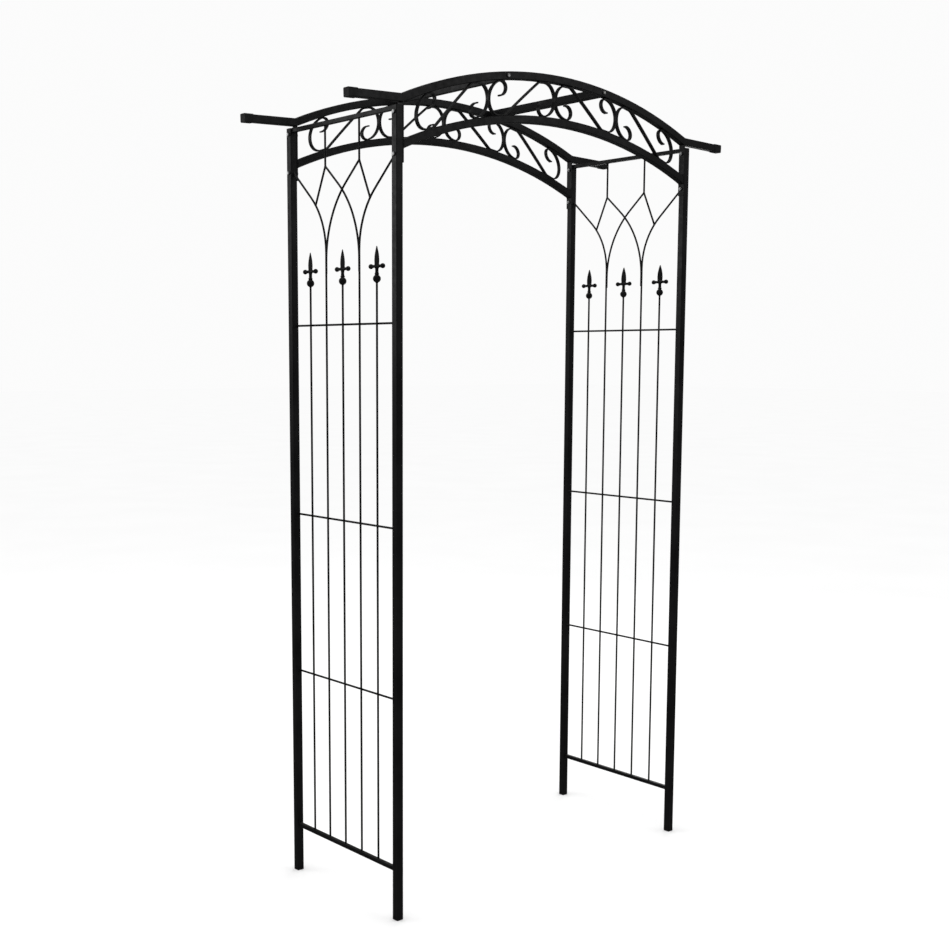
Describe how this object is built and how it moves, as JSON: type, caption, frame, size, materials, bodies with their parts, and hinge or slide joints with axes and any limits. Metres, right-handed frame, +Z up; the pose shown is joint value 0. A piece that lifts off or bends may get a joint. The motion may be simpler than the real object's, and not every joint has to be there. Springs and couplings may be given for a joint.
{
  "type": "garden trellis arch",
  "caption": "Free-standing black steel garden arch with lattice side panels, spear finials, bent tracery and two arched scrollwork trusses joined by roof bars",
  "frame": {"origin": "on the ground, at the centre of the four feet", "axes": "+X across the walkway, to the right as seen from the front truss; +Y along the walkway, from the front truss to the rear truss; +Z up"},
  "size_m": [1.5, 0.53, 2.3999],
  "materials": {
    "powder_coated_steel": "satin black powder coat on square steel tube",
    "powder_coated_rod": "satin black powder coat on round steel rod",
    "powder_coated_flat_bar": "satin black powder coat on flat steel bar",
    "painted_cast_iron": "satin black coat over rough casting",
    "black_plastic": "matt moulded plastic",
    "zinc_plated_steel": "bright zinc plate"
  },
  "bodies": {
    "root": {"left_front_post": "powder_coated_steel", "left_rear_post": "powder_coated_steel", "left_bottom_rail": "powder_coated_steel", "left_top_rail": "powder_coated_steel", "left_lower_cross_rod": "powder_coated_rod", "left_middle_cross_rod": "powder_coated_rod", "left_upper_cross_rod": "powder_coated_rod", "left_rear_picket": "powder_coated_rod", "left_middle_picket": "powder_coated_rod", "left_front_picket": "powder_coated_rod", "left_front_stem": "powder_coated_rod", "left_front_tracery": "powder_coated_rod", "left_front_brace": "powder_coated_rod", "left_rear_stem": "powder_coated_rod", "left_rear_tracery": "powder_coated_rod", "left_rear_brace": "powder_coated_rod", "left_finials": "painted_cast_iron", "right_front_post": "powder_coated_steel", "right_rear_post": "powder_coated_steel", "right_bottom_rail": "powder_coated_steel", "right_top_rail": "powder_coated_steel", "right_lower_cross_rod": "powder_coated_rod", "right_middle_cross_rod": "powder_coated_rod", "right_upper_cross_rod": "powder_coated_rod", "right_rear_picket": "powder_coated_rod", "right_middle_picket": "powder_coated_rod", "right_front_picket": "powder_coated_rod", "right_front_stem": "powder_coated_rod", "right_front_tracery": "powder_coated_rod", "right_front_brace": "powder_coated_rod", "right_rear_stem": "powder_coated_rod", "right_rear_tracery": "powder_coated_rod", "right_rear_brace": "powder_coated_rod", "right_finials": "painted_cast_iron", "front_upper_rail": "powder_coated_steel", "front_lower_rail": "powder_coated_steel", "front_scroll_1": "powder_coated_flat_bar", "front_scroll_2": "powder_coated_flat_bar", "front_scroll_3": "powder_coated_flat_bar", "front_scroll_4": "powder_coated_flat_bar", "front_left_end_plate": "powder_coated_flat_bar", "front_right_end_plate": "powder_coated_flat_bar", "rear_upper_rail": "powder_coated_steel", "rear_lower_rail": "powder_coated_steel", "rear_scroll_1": "powder_coated_flat_bar", "rear_scroll_2": "powder_coated_flat_bar", "rear_scroll_3": "powder_coated_flat_bar", "rear_scroll_4": "powder_coated_flat_bar", "rear_left_end_plate": "powder_coated_flat_bar", "rear_right_end_plate": "powder_coated_flat_bar", "left_roof_bar": "powder_coated_steel", "right_roof_bar": "powder_coated_steel", "post_top_plugs": "black_plastic", "foot_plugs": "black_plastic", "tail_caps": "black_plastic", "corner_bolts": "zinc_plated_steel", "corner_nuts": "zinc_plated_steel", "roof_bar_bolts": "zinc_plated_steel", "roof_bar_inserts": "zinc_plated_steel"}
  },
  "joints": []
}
